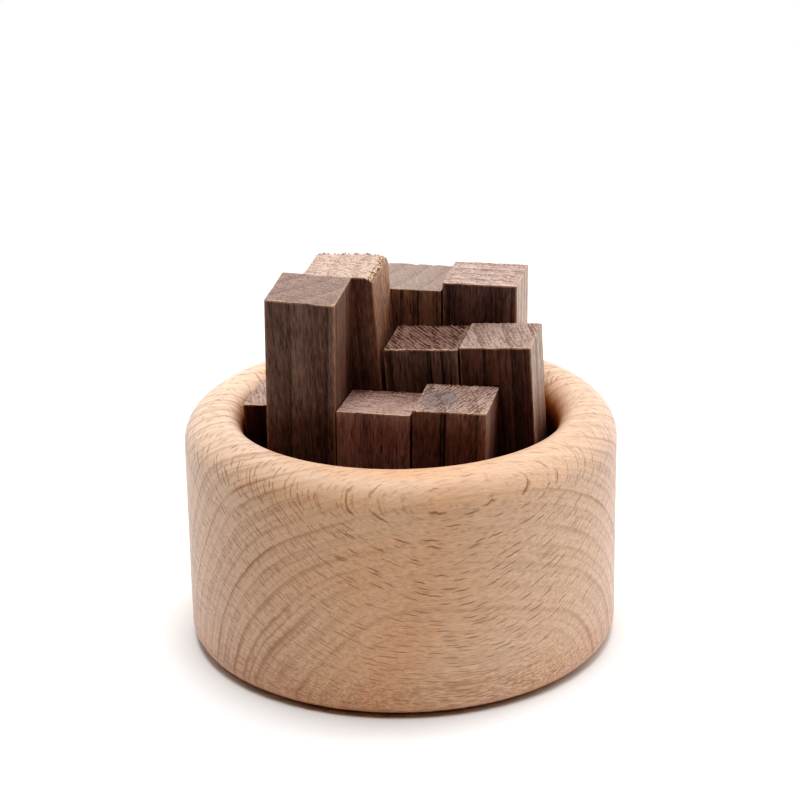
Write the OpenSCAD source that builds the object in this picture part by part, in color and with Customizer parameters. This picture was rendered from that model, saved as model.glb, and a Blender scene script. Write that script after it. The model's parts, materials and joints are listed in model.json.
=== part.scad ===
// A turned cup holding a bundle of loose square sticks in three rows. The origin is the centre of
// the cup's base, X runs along the rows, the front row is on -Y, and every stick lifts straight
// out along its own length.

/* [Cup] */
// Outside diameter of the cup
cup_d = 60; // [60:0.5:66]
// Height of the cup over its lip
cup_h = 33.4; // [28:0.1:36]
// Diameter of the bored hollow
bore_d = 43.2; // [43.2:0.1:43.8]
// Thickness of the cup's floor under the sticks
floor_t = 5; // [3:0.5:8]
// Radius of the lip's outer roll
lip_outer_r = 4.6; // [3:0.1:4.8]
// Width of the lip's inner roll
lip_inner_w = 3.4; // [2.5:0.1:3.5]
// Height of the lip's inner roll
lip_inner_h = 5.1; // [3:0.1:6]
// Radius of the edge around the base
base_r = 2.6; // [1:0.1:4]
// Radius that the boring tool leaves around the hollow's floor
hollow_r = 0.8; // [0.4:0.1:1]

/* [Sticks] */
// Depth of every stick from front to back
stick_depth = 9.85; // [9.5:0.05:9.9]
// Width of the worn edge along each corner of a stick
arris = 0.3; // [0.1:0.05:0.5]
// Gap between neighbours, in a row and between rows
gap = 0.1; // [0.06:0.01:0.12]
// How far the bundle stands behind the cup's centre
bundle_y = 0.1; // [0:0.05:0.1]

/* [Front row] */
// Place of the row's left face on the cup's floor
front_x = -15.6; // [-15.6:0.05:-15.4]
// Width of each stick, from left to right
front_width = [9.5, 10, 9.8]; // [9.4:0.1:10]
// Length of each stick
front_length = [47.5, 32, 33.1]; // [20:0.1:60]
// Lean of each stick to the right, in degrees, never less than its left neighbour's
front_lean = [0.9, 0.9, 1.5]; // [0.5:0.1:1.5]
// Slope of each sawn top down to the left, in degrees
front_cut_left = [-1.2, 1.1, 2.2]; // [-4:0.1:4]
// Slope of each sawn top down to the front, in degrees
front_cut_front = [4.5, -2.6, 1.2]; // [-5:0.1:5]

/* [Middle row] */
// Place of the row's left face on the cup's floor
middle_x = -19.2; // [-19.2:0.05:-19.1]
// Width of each stick, from left to right
middle_width = [10.1, 9.8, 10, 9.8]; // [9.5:0.1:10.1]
// Length of each stick
middle_length = [28.7, 47.7, 37.9, 38.8]; // [20:0.1:60]
// Lean of each stick to the right, in degrees, never less than its left neighbour's
middle_lean = [-4, -4, -3.2, -2.7]; // [-4:0.1:-2.7]
// Slope of each sawn top down to the left, in degrees
middle_cut_left = [0, -2.1, 0, 0.5]; // [-4:0.1:4]
// Slope of each sawn top down to the front, in degrees
middle_cut_front = [1, 2.6, 0.8, 1.4]; // [-5:0.1:5]

/* [Back row] */
// Place of the row's left face on the cup's floor
back_x = -15; // [-15:0.05:-14.9]
// Width of each stick, from left to right
back_width = [9.9, 9.8, 10.2]; // [9.6:0.1:10.2]
// Length of each stick
back_length = [28, 43.5, 44.4]; // [20:0.1:60]
// Lean of each stick to the right, in degrees, never less than its left neighbour's
back_lean = [0.2, 0.2, 0.6]; // [0:0.1:0.6]
// Slope of each sawn top down to the left, in degrees
back_cut_left = [0.5, 0, 0.5]; // [-4:0.1:4]
// Slope of each sawn top down to the front, in degrees
back_cut_front = [-1, 3.5, 0.6]; // [-5:0.1:5]

/* [Hidden] */

cup_r = cup_d / 2;
bore_r = bore_d / 2;
// Distance between the middles of two rows
row_pitch = stick_depth + gap;
front_y = bundle_y - row_pitch;
middle_y = bundle_y;
back_y = bundle_y + row_pitch;
// Steps in each quarter of a rounded edge
arc_steps = 10;

// Points of a quarter round about a centre, from one angle to another
function quarter(centre, rx, rz, from, to) = [
    for (i = [0 : arc_steps])
        let (a = from + (to - from) * i / arc_steps)
        centre + [rx * cos(a), rz * sin(a)]
];

// Half section of the cup, from the middle of its base round to the middle of its floor
function cup_outline() = concat(
    [[0, 0]],
    quarter([cup_r - base_r, base_r], base_r, base_r, -90, 0),
    quarter([cup_r - lip_outer_r, cup_h - lip_outer_r], lip_outer_r, lip_outer_r, 0, 90),
    quarter([bore_r + lip_inner_w, cup_h - lip_inner_h], lip_inner_w, lip_inner_h, 90, 180),
    quarter([bore_r - hollow_r, floor_t + hollow_r], hollow_r, hollow_r, 0, -90),
    [[0, floor_t]]
);

// Width of a leaning stick, measured along the floor
function footprint(width, lean) = width / cos(lean);

// Where the left face of stick i stands when each stick stands against the one before it
function stand_x(start, widths, leans, i) =
    i == 0
        ? start
        : stand_x(start, widths, leans, i - 1) + footprint(widths[i - 1], leans[i - 1]) + gap;

// Square outline with its four corners worn off
module stick_section(width) {
    polygon([
        [arris, 0],
        [width - arris, 0],
        [width, arris],
        [width, stick_depth - arris],
        [width - arris, stick_depth],
        [arris, stick_depth],
        [0, stick_depth - arris],
        [0, arris],
    ]);
}

// An upright stick with its top sawn a little out of square
module sawn_stick(width, length, cut_left, cut_front) {
    over = 3;
    difference() {
        linear_extrude(length + over)
            stick_section(width);
        translate([width / 2, stick_depth / 2, length])
            rotate([cut_front, -cut_left, 0])
            translate([-width, -stick_depth, 0])
            cube([2 * width, 2 * stick_depth, 4 * over]);
    }
}

// Stick i of a row, leaning on its lower edge on the cup's floor
module row_stick(start, y, widths, lengths, leans, cuts_left, cuts_front, i) {
    width = widths[i];
    lean = leans[i];
    lift = max(0, width * sin(lean));
    translate([stand_x(start, widths, leans, i), y - stick_depth / 2, floor_t + lift])
        rotate([0, lean, 0])
        sawn_stick(width, lengths[i], cuts_left[i], cuts_front[i]);
}

module front_stick(i) {
    color("saddlebrown")
        row_stick(front_x, front_y, front_width, front_length, front_lean,
            front_cut_left, front_cut_front, i);
}

module middle_stick(i) {
    color("sienna")
        row_stick(middle_x, middle_y, middle_width, middle_length, middle_lean,
            middle_cut_left, middle_cut_front, i);
}

module back_stick(i) {
    color("peru")
        row_stick(back_x, back_y, back_width, back_length, back_lean,
            back_cut_left, back_cut_front, i);
}

module cup() {
    color("burlywood")
        rotate_extrude($fn = 128)
        polygon(cup_outline());
}

cup();
front_stick(0);  // stick_front_left
front_stick(1);  // stick_front_middle
front_stick(2);  // stick_front_right
middle_stick(0);  // stick_middle_far_left
middle_stick(1);  // stick_middle_left
middle_stick(2);  // stick_middle_right
middle_stick(3);  // stick_middle_far_right
back_stick(0);  // stick_back_left
back_stick(1);  // stick_back_middle
back_stick(2);  // stick_back_right
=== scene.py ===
# Turned beech cup with a bundle of loose walnut sticks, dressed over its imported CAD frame.
# Everything is in metres; the dictionaries give sizes in millimetres.
import json
import math

import bpy
import numpy as np
from mathutils import Matrix, Vector


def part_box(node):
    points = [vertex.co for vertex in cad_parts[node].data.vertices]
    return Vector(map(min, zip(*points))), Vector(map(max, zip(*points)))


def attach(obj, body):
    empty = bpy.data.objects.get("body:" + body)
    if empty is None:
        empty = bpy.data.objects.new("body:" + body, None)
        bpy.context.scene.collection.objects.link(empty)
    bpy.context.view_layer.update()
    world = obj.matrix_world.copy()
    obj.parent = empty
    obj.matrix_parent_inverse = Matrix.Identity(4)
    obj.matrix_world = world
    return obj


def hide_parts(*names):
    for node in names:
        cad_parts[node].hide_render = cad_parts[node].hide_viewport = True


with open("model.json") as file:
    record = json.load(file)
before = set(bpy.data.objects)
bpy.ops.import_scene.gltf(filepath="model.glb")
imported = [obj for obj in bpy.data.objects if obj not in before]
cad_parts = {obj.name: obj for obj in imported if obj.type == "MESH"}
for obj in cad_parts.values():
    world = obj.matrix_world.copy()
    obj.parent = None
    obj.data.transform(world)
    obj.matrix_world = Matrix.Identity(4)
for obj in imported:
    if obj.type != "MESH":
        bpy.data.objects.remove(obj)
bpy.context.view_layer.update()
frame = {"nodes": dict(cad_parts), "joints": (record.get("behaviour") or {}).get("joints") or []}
mm = 0.001


def toLinear(hexColour):
    # sRGB hex to the linear values that the shaders work in
    parts = [int(hexColour[i : i + 2], 16) / 255 for i in (1, 3, 5)]
    linear = [c / 12.92 if c <= 0.04045 else ((c + 0.055) / 1.055) ** 2.4 for c in parts]
    return (*linear, 1.0)


def addNode(tree, kind, inputs=None, stops=None, span=(), **settings):
    # one node with its settings, ramp stops and links; a linked node gives its first live output,
    # and a span is the range that a value comes from, then the range that it goes to
    node = tree.nodes.new("ShaderNode" + kind)
    inputs = dict(inputs or {})
    inputs.update(zip(("From Min", "From Max", "To Min", "To Max"), span))
    for key, value in settings.items():
        setattr(node, key, value)
    if stops:
        elements = node.color_ramp.elements
        elements.remove(elements[1])
        for i, (place, value) in enumerate(stops):
            element = elements[0] if i == 0 else elements.new(place)
            element.position = place
            element.color = toLinear(value) if isinstance(value, str) else (value, value, value, 1)
    for key, value in inputs.items():
        socket = node.inputs[key]
        if isinstance(value, bpy.types.Node):
            value = next(output for output in value.outputs if output.enabled)
        if isinstance(value, bpy.types.NodeSocket):
            tree.links.new(value, socket)
        elif isinstance(value, str):
            socket.default_value = toLinear(value)
        else:
            socket.default_value = value
    return node


def stretchedNoise(tree, place, perMm, detail, roughness=0.5):
    # noise with its own spacing in each direction, as features per mm
    scaled = addNode(tree, "VectorMath", {0: place, 1: perMm}, operation="MULTIPLY")
    inputs = {"Vector": scaled, "Scale": 1.0, "Detail": detail, "Roughness": roughness}
    return addNode(tree, "TexNoise", inputs)


def scatteredMarks(tree, place, cell, size):
    # a mark somewhere in each cell of a grid: the cells, and how far away the nearest mark's middle
    # is, as a part of the mark's own size
    unused = [0] * (3 - len(cell))
    perCell = [1 / c for c in cell] + unused
    inCell = addNode(tree, "VectorMath", {0: place, 1: perCell}, operation="MULTIPLY")
    dimensions = "2D" if unused else "3D"
    cells = addNode(tree, "TexVoronoi", {"Vector": inCell, "Scale": 1.0}, voronoi_dimensions=dimensions)
    away = addNode(tree, "VectorMath", {0: inCell, 1: cells.outputs["Position"]}, operation="SUBTRACT")
    perSize = [c / s for c, s in zip(cell, size)] + unused
    away = addNode(tree, "VectorMath", {0: away, 1: perSize}, operation="MULTIPLY")
    return cells, addNode(tree, "VectorMath", {0: away}, operation="LENGTH").outputs["Value"]


def closeMaterial(tree, height, strength, depth, inputs):
    # the last nodes of a wood: its relief, depth in mm, and its surface
    bump = addNode(tree, "Bump", {"Height": height, "Strength": strength, "Distance": depth * mm})
    shader = addNode(tree, "BsdfPrincipled", {**inputs, "Normal": bump, "IOR": 1.5})
    addNode(tree, "OutputMaterial", {"Surface": shader})


def newMaterial(name):
    material = bpy.data.materials.new(name)
    material.use_nodes = True
    material.node_tree.nodes.clear()
    return material, material.node_tree


def smoothNoise(points, seed):
    # smooth random values from -1 to 1, one feature per unit, the same on every run
    cell = np.floor(points).astype(np.int64)
    part = points - cell
    part = part * part * (3 - 2 * part)
    total = np.zeros(len(points))
    for dx in (0, 1):
        for dy in (0, 1):
            for dz in (0, 1):
                corner = cell + (dx, dy, dz)
                mixed = corner[:, 0] * 73856093 ^ corner[:, 1] * 19349663 ^ corner[:, 2] * 83492791
                mixed = (mixed ^ seed * 2654435761) & 0xFFFFFFFF
                mixed = (mixed ^ mixed >> 15) * 2246822519 & 0xFFFFFFFF
                mixed = (mixed ^ mixed >> 13) * 3266489917 & 0xFFFFFFFF
                value = (mixed ^ mixed >> 16) / 0x7FFFFFFF - 1
                weight = (
                    (part[:, 0] if dx else 1 - part[:, 0])
                    * (part[:, 1] if dy else 1 - part[:, 1])
                    * (part[:, 2] if dz else 1 - part[:, 2])
                )
                total += value * weight
    return total


def ease(value, low, high):
    # 0 below low, 1 above high, smooth between
    t = np.clip((value - low) / (high - low), 0, 1)
    return t * t * (3 - 2 * t)


def meshPiece(name, points, faces, materials, faceMaterials=None):
    mesh = bpy.data.meshes.new(name)
    mesh.from_pydata(points.tolist(), [], faces)
    mesh.polygons.foreach_set("use_smooth", [True] * len(faces))
    for material in materials:
        mesh.materials.append(material)
    if faceMaterials is not None:
        mesh.polygons.foreach_set("material_index", faceMaterials)
    mesh.update()
    piece = bpy.data.objects.new(name, mesh)
    bpy.context.scene.collection.objects.link(piece)
    return piece


cupShape = {
    "bore": 43.2,
    "floorThickness": 5.0,
    "lipOuter": 4.6,
    "lipInnerWidth": 3.4,
    "lipInnerHeight": 5.1,
    "baseEdge": 2.6,
    "hollowEdge": 0.8,
    "arcSteps": 16,
    "around": 320,
    "outOfRound": 0.05,  # how far sanding has taken the outside under its full radius
    "toolPitch": 0.7,  # faint ridges left inside by the boring tool
    "toolDepth": 0.02,
}


def arc(centre, width, height, start, end):
    # points of a quarter round, angles in degrees
    steps = cupShape["arcSteps"]
    angles = np.radians(np.linspace(start, end, steps + 1))
    return [(centre[0] + width * math.cos(a), centre[1] + height * math.sin(a)) for a in angles]


def stretch(start, end, step):
    # points between two ends, leaving both ends out
    count = max(1, round(math.dist(start, end) / step))
    return [tuple(np.add(start, np.subtract(end, start) * i / count)) for i in range(1, count)]


def cupOutline(radius, height):
    # half section in mm, from the middle of the base round to the middle of the floor
    s = cupShape
    bore = s["bore"] / 2
    base, hollow, outer = s["baseEdge"], s["hollowEdge"], s["lipOuter"]
    floorTop = s["floorThickness"]
    baseArc = arc((radius - base, base), base, base, -90, 0)
    outerArc = arc((radius - outer, height - outer), outer, outer, 0, 90)
    innerCentre = (bore + s["lipInnerWidth"], height - s["lipInnerHeight"])
    innerArc = arc(innerCentre, s["lipInnerWidth"], s["lipInnerHeight"], 90, 180)
    hollowArc = arc((bore - hollow, floorTop + hollow), hollow, hollow, 0, -90)
    outline = stretch((0, 0), baseArc[0], 2.0)
    outline += baseArc + stretch(baseArc[-1], outerArc[0], 0.6)
    outline += outerArc + innerArc
    outline += stretch(innerArc[-1], hollowArc[0], 0.35) + hollowArc
    outline += stretch(hollowArc[-1], (0, floorTop), 1.0)
    return np.array(outline)


def buildCup(material):
    low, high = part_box("cup")
    radius = (high[0] - low[0]) / 2 / mm
    height = (high[2] - low[2]) / mm
    outline = cupOutline(radius, height)
    around = cupShape["around"]
    turn = np.arange(around) * 2 * math.pi / around
    ring, angle = np.meshgrid(np.arange(len(outline)), turn, indexing="ij")
    r = outline[ring.ravel(), 0]
    z = outline[ring.ravel(), 1]
    a = angle.ravel()
    x, y = r * np.cos(a), r * np.sin(a)

    # sanding by hand leaves the outside a hair out of round; the floor of the hollow and base stay put
    outside = ease(r, cupShape["bore"] / 2 + 2, radius - 3) * ease(z, 0.5, 3)
    wave = smoothNoise(np.stack([x, y, z * 1.5], 1) / 14, 5)
    r = r - cupShape["outOfRound"] * outside * (0.5 + 0.5 * wave)
    # ridges from the boring tool in the hollow
    inside = ease(-r, -cupShape["bore"] / 2 - 0.2, -cupShape["bore"] / 2 + 0.1)
    inside *= ease(z, 6, 7) * ease(-z, -height + 5, -height + 6.5)
    ridge = np.sin(2 * math.pi * (z + 0.15 * np.sin(a)) / cupShape["toolPitch"])
    r = r + cupShape["toolDepth"] * inside * (1 + ridge) / 2
    points = np.stack([r * np.cos(a), r * np.sin(a), z], 1)

    count = len(outline)
    faces = []
    for i in range(count - 1):
        for j in range(around):
            k = (j + 1) % around
            faces.append((i * around + j, i * around + k, (i + 1) * around + k, (i + 1) * around + j))
    base, floorCentre = count * around, count * around + 1
    points = np.vstack([points, (0, 0, 0), (0, 0, cupShape["floorThickness"])])
    last = (count - 1) * around
    for j in range(around):
        k = (j + 1) % around
        faces.append((base, k, j))
        faces.append((floorCentre, last + j, last + k))
    cup = meshPiece("turnedCup", points * mm, faces, [material])
    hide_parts("cup")
    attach(cup, "cup")
    print("cup turned:", len(faces), "faces")
    return cup


beechLook = {
    "fibreTurn": 27.2,  # the plank's fibres lie level, turned this many degrees from the rows
    "pith": (49.4, -6.7),  # the tree's centre line: how far in front of the axis, and above the base
    "wood": "#e5af84",
    "woodRed": "#dca276",
    "woodPale": "#e5bb97",
    "endWood": "#d8b292",  # cut straight across, the open fibres swallow some of the colour
    "paleRightTone": "#efc6a5",  # painted light: paler towards the end of the plank on the right, for the light from that side
    "baseWood": "#c07a50",  # redder where it was handled, close to the base
    "lipHighlight": "#f1cdae",  # painted highlight: paler on the lip at the other end, where it catches the light from behind
    "ringLine": "#a3653f",
    "ray": "#8b4820",
    "fineRay": "#8a5029",
    "ringsPerMm": 0.47,  # growth rings just over 2 mm apart
    "linesPerRing": 2.3,  # fainter lines inside each of them
    "rayDistance": 36.0,  # from the pith, where the sizes of the rays below hold
    "rayCell": (0.8, 3.4),  # spacing of the big rays: across, and along the fibres
    "raySize": (0.075, 1.35),  # half of their thickness and height
    "fineRayCell": (0.36, 1.5),
    "fineRaySize": (0.07, 0.55),  # drawn a little thicker than the real 0.1 mm
    "roughness": (0.42, 0.58),
    "hollowShadeStrength": 0.85,  # painted shade: the bored hollow is drawn dark brown, and orange brown where the lip rolls into it, for the shade and the warm bounced light inside it
    "hollowShade": "#3d2010",
    "hollowEdgeShade": "#a05522",
    # where each of these starts and is complete: mm outside the bore, and mm under the lip
    "hollowReach": (2.2, 0.2),
    "hollowDepth": (1.2, 4.9),
    "hollowEdgeReach": (3.3, 0.6),
    "hollowEdgeDepth": (0.2, 2.9),
    "lipDepth": (3.4, 0.8),  # the lip itself
    "palerAlong": (-9.0, 7.0),  # the painted light on the right begins and is complete, mm along the fibres
    "palerLipAlong": (-6.0, -20.0),
    "redderOver": (8.5, 1.5),  # redder between these heights, mm above the base
}


def turnedBeech(look):
    # steamed European beech, turned and sanded but bare: level growth rings as soft brown lines,
    # short dark ray flecks where it is cut flat and a net of fine lines where it is cut across,
    # with a soft satin surface that keeps a little of the light at its edges
    material, tree = newMaterial("turnedSandedBeech")
    place = addNode(tree, "TexCoord").outputs["Object"]
    # X runs along the fibres, and Y and Z start at the pith, all in mm
    inPlank = addNode(
        tree,
        "Mapping",
        {
            "Vector": place,
            "Scale": (1 / mm, 1 / mm, 1 / mm),
            "Rotation": (0, 0, math.radians(-look["fibreTurn"])),
            "Location": (0, look["pith"][0], -look["pith"][1]),
        },
    )
    # the stem is never quite straight or round
    bend = addNode(tree, "TexNoise", {"Vector": inPlank, "Scale": 0.045, "Detail": 1})
    bendBy = addNode(
        tree, "VectorMath", {0: bend.outputs["Color"], 1: (0.5, 0.5, 0.5)}, operation="SUBTRACT"
    )
    bent = addNode(tree, "VectorMath", {0: bendBy, 1: (0, 4, 4), 2: inPlank}, operation="MULTIPLY_ADD")
    across = addNode(tree, "VectorMath", {0: bent, 1: (0, 1, 1)}, operation="MULTIPLY")
    outwards = addNode(tree, "VectorMath", {0: across}, operation="LENGTH").outputs["Value"]
    parts = addNode(tree, "SeparateXYZ", {0: bent})
    turnAngle = addNode(tree, "Math", {0: parts.outputs["Y"], 1: parts.outputs["Z"]}, operation="ARCTAN2")
    # angles round the pith as mm, at the distance where most of the outside lies
    sideways = addNode(tree, "Math", {0: turnAngle, 1: look["rayDistance"]}, operation="MULTIPLY")

    # how squarely the fibres are cut: 1 on the two end-grain sides of the cup, 0 between them
    fibreX = math.cos(math.radians(look["fibreTurn"]))
    fibreY = math.sin(math.radians(look["fibreTurn"]))
    fromAxis = addNode(tree, "VectorMath", {0: place, 1: (1, 1, 0)}, operation="MULTIPLY")
    facing = addNode(tree, "VectorMath", {0: fromAxis}, operation="NORMALIZE")
    cutAcross = addNode(
        tree, "VectorMath", {0: facing, 1: (fibreX, fibreY, 0)}, operation="DOT_PRODUCT"
    ).outputs["Value"]
    cutAcross = addNode(tree, "Math", {0: cutAcross}, operation="ABSOLUTE")
    endGrain = addNode(
        tree, "MapRange", {"Value": cutAcross}, span=(0.35, 0.95), interpolation_type="SMOOTHSTEP"
    )

    # growth rings: strong lines every ring with fainter ones between, scalloped where rays cross them
    scallop = addNode(tree, "TexNoise", {"Vector": inPlank, "Scale": 0.9, "Detail": 2})
    scalloped = addNode(tree, "Math", {0: scallop, 1: 0.5, 2: outwards}, operation="MULTIPLY_ADD")
    ringMasks = []
    strongRing = [(0.0, 0.25), (0.10, 0.0), (0.45, 0.0), (0.72, 0.3), (0.90, 1.0), (1.0, 0.6)]
    faintRing = [(0.0, 0.3), (0.2, 0.0), (0.6, 0.0), (0.88, 1.0), (1.0, 0.6)]
    for perMm, ramp, least in (
        (look["ringsPerMm"], strongRing, 0.4),
        (look["ringsPerMm"] * look["linesPerRing"], faintRing, 0.2),
    ):
        ringCount = addNode(tree, "Math", {0: scalloped, 1: perMm}, operation="MULTIPLY")
        ringPart = addNode(tree, "Math", {0: ringCount}, operation="FRACT")
        ringIndex = addNode(tree, "Math", {0: ringCount}, operation="FLOOR")
        ringLine = addNode(tree, "ValToRGB", {"Fac": ringPart}, stops=ramp)
        ringChance = addNode(tree, "TexWhiteNoise", {"W": ringIndex}, noise_dimensions="1D")
        ringStrength = addNode(
            tree, "MapRange", {"Value": ringChance.outputs["Value"]}, span=(0.0, 1.0, least)
        )
        ringMasks.append(
            addNode(tree, "Math", {0: ringLine, 1: ringStrength}, operation="MULTIPLY")
        )
    fade = addNode(tree, "TexNoise", {"Vector": inPlank, "Scale": 0.12, "Detail": 2})
    fadeTo = addNode(tree, "MapRange", {"Value": fade}, span=(0.3, 0.65, 0.4))
    # rings cut at a steep angle are crisp, and wash out where they lie flat in the surface
    crisp = addNode(tree, "MapRange", {"Value": endGrain}, span=(0.0, 1.0, 0.27, 1.0))
    fadeTo = addNode(tree, "Math", {0: fadeTo, 1: crisp}, operation="MULTIPLY")
    ringMask = addNode(
        tree, "Math", {0: ringMasks[1], 1: 0.85, 2: ringMasks[0]}, operation="MULTIPLY_ADD"
    )
    ringMask = addNode(tree, "Math", {0: ringMask, 1: fadeTo}, operation="MULTIPLY")

    # medullary rays: thin sheets that run outwards from the pith and slowly come and go
    ragged = stretchedNoise(tree, inPlank, (1.1, 0.35, 0.35), 3)
    rayPlace = addNode(tree, "CombineXYZ", {"X": sideways, "Y": parts.outputs["X"]})
    rayPlace = addNode(
        tree,
        "VectorMath",
        {0: ragged.outputs["Color"], 1: (0.3, 1.4, 0), 2: rayPlace},
        operation="MULTIPLY_ADD",
    )
    rayMasks = []
    for cell, size, rate in (("rayCell", "raySize", 0.5), ("fineRayCell", "fineRaySize", 1.0)):
        alongRay = addNode(tree, "Math", {0: outwards, 1: rate}, operation="MULTIPLY")
        rays, far = scatteredMarks(tree, rayPlace, look[cell], look[size])
        chance = addNode(tree, "SeparateColor", {0: rays.outputs["Color"]})
        comes = addNode(
            tree, "Math", {0: chance.outputs["Green"], 1: 40.0, 2: alongRay}, operation="MULTIPLY_ADD"
        )
        swell = addNode(tree, "TexNoise", {"W": comes, "Scale": 1.0, "Detail": 1}, noise_dimensions="1D")
        reach = addNode(tree, "MapRange", {"Value": swell}, span=(0.3, 0.6, 0.3, 1.1))
        nearness = addNode(tree, "Math", {0: far, 1: reach}, operation="DIVIDE")
        mask = addNode(
            tree, "MapRange", {"Value": nearness}, span=(1.2, 0.35), interpolation_type="SMOOTHSTEP"
        )
        rayMasks.append(mask)
    bigRay, fineRay = rayMasks

    # colour: drifting between tan and a redder tan, greyer across the fibres, with fine fibres
    drift = addNode(tree, "TexNoise", {"Vector": inPlank, "Scale": 0.055, "Detail": 3})
    driftRamp = addNode(
        tree,
        "ValToRGB",
        {"Fac": drift},
        stops=[(0.32, look["woodRed"]), (0.5, look["wood"]), (0.7, look["woodPale"])],
    )
    # painted light: the right of the cup is drawn paler along the fibres, for the light from that side
    paler = addNode(
        tree,
        "MapRange",
        {"Value": parts.outputs["X"]},
        span=(*look["palerAlong"], 0.0, 0.66),
        interpolation_type="SMOOTHSTEP",
    )
    driftRamp = addNode(tree, "Mix", {0: paler, 6: driftRamp, 7: look["paleRightTone"]}, data_type="RGBA")
    endTint = addNode(tree, "Math", {0: endGrain, 1: 0.8}, operation="MULTIPLY")
    wood = addNode(tree, "Mix", {0: endTint, 6: driftRamp, 7: look["endWood"]}, data_type="RGBA")
    fibres = stretchedNoise(tree, inPlank, (0.5, 4.5, 4.5), 4, 0.65)
    fibreTone = addNode(tree, "MapRange", {"Value": fibres}, span=(0.3, 0.7, 0.8, 1.17))
    wood = addNode(tree, "Mix", {0: 1.0, 6: wood, 7: fibreTone}, data_type="RGBA", blend_type="MULTIPLY")
    # painted highlight: the lip is drawn paler at the other end of the plank, where it catches the light
    # from behind
    inMm = addNode(tree, "VectorMath", {0: place, 1: (1 / mm, 1 / mm, 1 / mm)}, operation="MULTIPLY")
    above = addNode(tree, "SeparateXYZ", {0: inMm}).outputs["Z"]
    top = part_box("cup")[1][2] / mm
    onLip = addNode(
        tree,
        "MapRange",
        {"Value": above},
        span=(top - look["lipDepth"][0], top - look["lipDepth"][1]),
        interpolation_type="SMOOTHSTEP",
    )
    atLeft = addNode(
        tree, "MapRange", {"Value": parts.outputs["X"]}, span=(*look["palerLipAlong"], 0.0, 0.65)
    )
    lipHighlightTint = addNode(tree, "Math", {0: onLip, 1: atLeft}, operation="MULTIPLY")
    wood = addNode(tree, "Mix", {0: lipHighlightTint, 6: wood, 7: look["lipHighlight"]}, data_type="RGBA")
    # handling and the bench have burnished it redder in patches close to the base
    nearBase = addNode(
        tree,
        "MapRange",
        {"Value": above},
        span=(*look["redderOver"], 0.0, 0.75),
        interpolation_type="SMOOTHSTEP",
    )
    patches = addNode(tree, "MapRange", {"Value": fibres}, span=(0.4, 0.55, 1.0, 0.0))
    burnished = addNode(tree, "Math", {0: nearBase, 1: patches}, operation="MULTIPLY")
    wood = addNode(tree, "Mix", {0: burnished, 6: wood, 7: look["baseWood"]}, data_type="RGBA")
    # rings and rays are faint on the lip, which is sanded and handled the most
    lipFade = addNode(tree, "MapRange", {"Value": onLip}, span=(0.0, 1.0, 0.98, 0.66))
    ringTint = addNode(tree, "Math", {0: ringMask, 1: lipFade}, operation="MULTIPLY", use_clamp=True)
    wood = addNode(tree, "Mix", {0: ringTint, 6: wood, 7: look["ringLine"]}, data_type="RGBA")
    fineLevel = addNode(tree, "MapRange", {"Value": endGrain}, span=(0.0, 1.0, 0.3, 0.9))
    fineTint = addNode(tree, "Math", {0: fineRay, 1: fineLevel}, operation="MULTIPLY")
    fineTint = addNode(tree, "Math", {0: fineTint, 1: lipFade}, operation="MULTIPLY")
    wood = addNode(tree, "Mix", {0: fineTint, 6: wood, 7: look["fineRay"]}, data_type="RGBA")
    rayLevel = addNode(tree, "MapRange", {"Value": endGrain}, span=(0.0, 1.0, 0.8, 0.38))
    rayTint = addNode(tree, "Math", {0: bigRay, 1: rayLevel}, operation="MULTIPLY")
    rayTint = addNode(tree, "Math", {0: rayTint, 1: lipFade}, operation="MULTIPLY")
    wood = addNode(tree, "Mix", {0: rayTint, 6: wood, 7: look["ray"]}, data_type="RGBA")

    # painted shade in the bored hollow: orange brown where the lip rolls into it, for shade and warm
    # bounced light, then dark brown
    level = addNode(tree, "VectorMath", {0: inMm, 1: (1, 1, 0)}, operation="MULTIPLY")
    axisGap = addNode(tree, "VectorMath", {0: level}, operation="LENGTH").outputs["Value"]
    bore = cupShape["bore"] / 2
    hollowMasks = []
    for reach, depth in (("hollowReach", "hollowDepth"), ("hollowEdgeReach", "hollowEdgeDepth")):
        inwards = addNode(
            tree, "MapRange", {"Value": axisGap}, span=(bore + look[reach][0], bore + look[reach][1])
        )
        downwards = addNode(
            tree, "MapRange", {"Value": above}, span=(top - look[depth][0], top - look[depth][1])
        )
        hollowMasks.append(addNode(tree, "Math", {0: inwards, 1: downwards}, operation="MULTIPLY"))
    hollow, intoHollow = hollowMasks
    hollow = addNode(tree, "Math", {0: hollow, 1: look["hollowShadeStrength"]}, operation="MULTIPLY")
    warmBounceShade = addNode(tree, "Math", {0: intoHollow, 1: 0.85}, operation="MULTIPLY")
    wood = addNode(tree, "Mix", {0: warmBounceShade, 6: wood, 7: look["hollowEdgeShade"]}, data_type="RGBA")
    wood = addNode(tree, "Mix", {0: hollow, 6: wood, 7: look["hollowShade"]}, data_type="RGBA")

    # rays sit a hair low after sanding, and so do the ring lines
    dips = addNode(tree, "Math", {0: bigRay, 1: 0.8, 2: ringMask}, operation="MULTIPLY_ADD")
    dips = addNode(tree, "Math", {0: fineRay, 1: 0.5, 2: dips}, operation="MULTIPLY_ADD")
    height = addNode(tree, "Math", {0: dips, 1: -0.6, 2: fibres}, operation="MULTIPLY_ADD")
    rough = addNode(tree, "MapRange", {"Value": fibres}, span=(0.0, 1.0, *look["roughness"]))
    sheen = addNode(tree, "MapRange", {"Value": intoHollow}, span=(0.0, 1.0, 0.2, 0.0))
    gloss = addNode(tree, "MapRange", {"Value": intoHollow}, span=(0.0, 1.0, 0.5, 0.05))
    surface = {"Base Color": wood, "Roughness": rough, "Sheen Weight": sheen, "Specular IOR Level": gloss}
    closeMaterial(tree, height, 0.35, 0.05, surface)
    print("beech mixed")
    return material


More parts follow.
